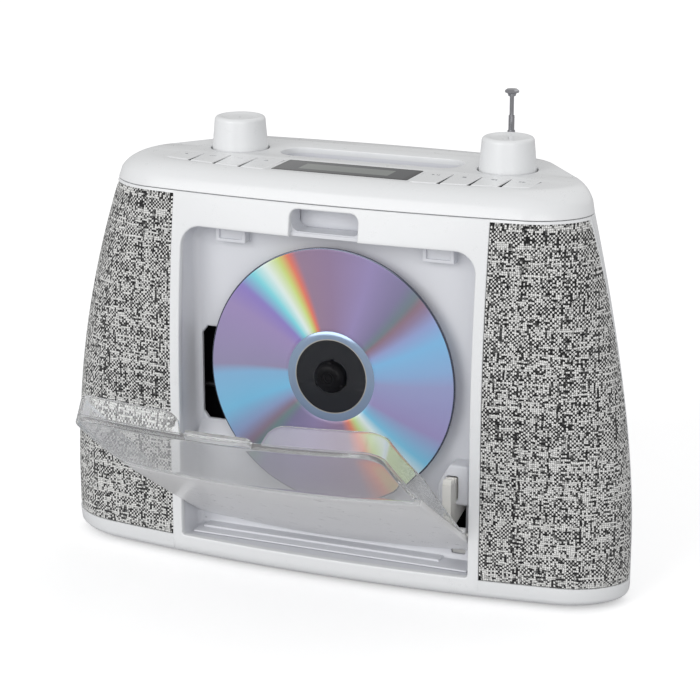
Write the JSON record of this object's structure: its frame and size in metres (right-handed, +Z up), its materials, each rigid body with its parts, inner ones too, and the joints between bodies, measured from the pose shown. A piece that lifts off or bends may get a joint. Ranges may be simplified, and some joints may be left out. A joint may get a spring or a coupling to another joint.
{
  "type": "portable cd player",
  "caption": "Upright portable disc player with cloth speaker ends, a fold-down clear and white door over the disc well, deck keys and knobs, a handle bar and a pull-up aerial.",
  "frame": {"origin": "on the ground under the centre of the housing", "axes": "+X to the right and +Z up, the disc door faces -Y"},
  "size_m": [0.277, 0.2053, 0.2194],
  "materials": {
    "white_gloss": "satin white moulded plastic",
    "white_matte": "fine matt white moulded plastic",
    "dark_plastic": "matt black moulded plastic",
    "grille_cloth": "grey tweed of black, grey and white yarns",
    "display_window": "dark smoked gloss plastic",
    "display_panel": "grey-green liquid crystal display",
    "circuit_board": "green solder-masked board",
    "steel": "plain bright steel",
    "chrome": "polished chrome plate",
    "cone_paper": "black pressed paper",
    "rubber": "dark matt rubber",
    "disc_plastic": "mirror-backed clear disc with rainbow bands",
    "clear_plastic": "clear plastic with a slight grey tint",
    "gear_plastic": "natural moulded gear plastic"
  },
  "bodies": {
    "housing": {"front_shell": "white_gloss", "rear_shell": "white_gloss", "top_cap": "white_gloss", "handle_liner": "white_gloss", "grille_panel_left": "dark_plastic", "grille_panel_right": "dark_plastic", "grille_cloth_left": "grille_cloth", "grille_cloth_right": "grille_cloth", "cd_well": "white_matte", "lcd_window": "display_window", "lcd_panel": "display_panel", "control_board": "circuit_board", "tact_switches": "dark_plastic", "volume_encoder": "dark_plastic", "tuning_encoder": "dark_plastic", "aerial_tube": "chrome", "speaker_baskets": "dark_plastic", "speaker_cones": "cone_paper", "speaker_magnets": "steel", "main_board": "circuit_board", "transformer": "steel", "mains_inlet": "dark_plastic", "audio_socket": "dark_plastic", "battery_box": "dark_plastic", "battery_contacts": "steel", "rubber_feet": "rubber", "case_screws": "steel", "mech_chassis": "dark_plastic", "spindle_motor": "steel", "sled_rails": "steel", "sled_motor": "steel", "damper_body": "dark_plastic"},
    "door": {"door_panel": "white_matte", "door_window": "clear_plastic", "door_pins": "steel", "door_sector": "white_matte"},
    "damper": {"damper_pinion": "gear_plastic"},
    "spindle": {"turntable": "dark_plastic", "disc": "disc_plastic"},
    "sled": {"laser_sled": "dark_plastic"},
    "sled_drive": {"sled_gear": "gear_plastic"},
    "volume": {"volume_knob": "white_gloss", "volume_shaft": "steel"},
    "tuning": {"tuning_knob": "white_gloss", "tuning_shaft": "steel"},
    "aerial_1": {"aerial_section_1": "chrome"},
    "aerial_2": {"aerial_section_2": "chrome"},
    "aerial_3": {"aerial_section_3": "chrome"},
    "aerial_4": {"aerial_section_4": "chrome"},
    "aerial_5": {"aerial_rod": "chrome"},
    "rear_cover": {"battery_cover": "white_gloss"},
    "press_left_1": {"key_left_1": "white_gloss"},
    "press_left_2": {"key_left_2": "white_gloss"},
    "press_left_3": {"key_left_3": "white_gloss"},
    "press_left_4": {"key_left_4": "white_gloss"},
    "press_right_1": {"key_right_1": "white_gloss"},
    "press_right_2": {"key_right_2": "white_gloss"},
    "press_right_3": {"key_right_3": "white_gloss"},
    "press_right_4": {"key_right_4": "white_gloss"}
  },
  "joints": [
    {"name": "door_hinge", "type": "hinge", "parent": "housing", "child": "door", "pos_m": [0, -0.0431, 0.0312], "axis": [-1, 0, 0], "range_deg": [0, 57.8]},
    {"name": "damper_turn", "type": "hinge", "parent": "housing", "child": "damper", "pos_m": [0.06, -0.01682, 0.04346], "axis": [-1, 0, 0], "range_deg": [-277.5, 0]},
    {"name": "disc_spin", "type": "hinge", "parent": "housing", "child": "spindle", "pos_m": [0, -0.033, 0.0948], "axis": [0, 1, 0], "continuous": true},
    {"name": "sled_slide", "type": "slide", "parent": "housing", "child": "sled", "axis": [-1, 0, 0], "range_m": [0, 0.032]},
    {"name": "sled_gear_turn", "type": "hinge", "parent": "housing", "child": "sled_drive", "pos_m": [-0.03, -0.0226, 0.0683], "axis": [0, -1, 0], "range_deg": [0, 306]},
    {"name": "volume_turn", "type": "hinge", "parent": "housing", "child": "volume", "pos_m": [-0.0665, 0.014, 0.187], "axis": [0, 0, 1], "continuous": true},
    {"name": "tuning_turn", "type": "hinge", "parent": "housing", "child": "tuning", "pos_m": [0.0665, 0.014, 0.187], "axis": [0, 0, 1], "continuous": true},
    {"name": "aerial_slide_1", "type": "slide", "parent": "housing", "child": "aerial_1", "axis": [0, 0, 1], "range_m": [0, 0.075]},
    {"name": "aerial_slide_2", "type": "slide", "parent": "aerial_1", "child": "aerial_2", "axis": [0, 0, 1], "range_m": [0, 0.075]},
    {"name": "aerial_slide_3", "type": "slide", "parent": "aerial_2", "child": "aerial_3", "axis": [0, 0, 1], "range_m": [0, 0.075]},
    {"name": "aerial_slide_4", "type": "slide", "parent": "aerial_3", "child": "aerial_4", "axis": [0, 0, 1], "range_m": [0, 0.075]},
    {"name": "aerial_slide_5", "type": "slide", "parent": "aerial_4", "child": "aerial_5", "axis": [0, 0, 1], "range_m": [0, 0.075]},
    {"name": "rear_cover_slide", "type": "slide", "parent": "housing", "child": "rear_cover", "axis": [0, 1, 0], "range_m": [0, 0.03]},
    {"name": "press_left_1_travel", "type": "slide", "parent": "housing", "child": "press_left_1", "axis": [0, 0, -1], "range_m": [0, 0.0008], "stiffness_N_per_m": 500, "springref_m": -0.0005},
    {"name": "press_left_2_travel", "type": "slide", "parent": "housing", "child": "press_left_2", "axis": [0, 0, -1], "range_m": [0, 0.0008], "stiffness_N_per_m": 500, "springref_m": -0.0005},
    {"name": "press_left_3_travel", "type": "slide", "parent": "housing", "child": "press_left_3", "axis": [0, 0, -1], "range_m": [0, 0.0008], "stiffness_N_per_m": 500, "springref_m": -0.0005},
    {"name": "press_left_4_travel", "type": "slide", "parent": "housing", "child": "press_left_4", "axis": [0, 0, -1], "range_m": [0, 0.0008], "stiffness_N_per_m": 500, "springref_m": -0.0005},
    {"name": "press_right_1_travel", "type": "slide", "parent": "housing", "child": "press_right_1", "axis": [0, 0, -1], "range_m": [0, 0.0008], "stiffness_N_per_m": 500, "springref_m": -0.0005},
    {"name": "press_right_2_travel", "type": "slide", "parent": "housing", "child": "press_right_2", "axis": [0, 0, -1], "range_m": [0, 0.0008], "stiffness_N_per_m": 500, "springref_m": -0.0005},
    {"name": "press_right_3_travel", "type": "slide", "parent": "housing", "child": "press_right_3", "axis": [0, 0, -1], "range_m": [0, 0.0008], "stiffness_N_per_m": 500, "springref_m": -0.0005},
    {"name": "press_right_4_travel", "type": "slide", "parent": "housing", "child": "press_right_4", "axis": [0, 0, -1], "range_m": [0, 0.0008], "stiffness_N_per_m": 500, "springref_m": -0.0005}
  ],
  "couplings": [
    {"joint": "damper_turn", "follows": "door_hinge", "ratio": -4.8},
    {"joint": "sled_gear_turn", "follows": "sled_slide", "rad_per_m": 166.67}
  ]
}
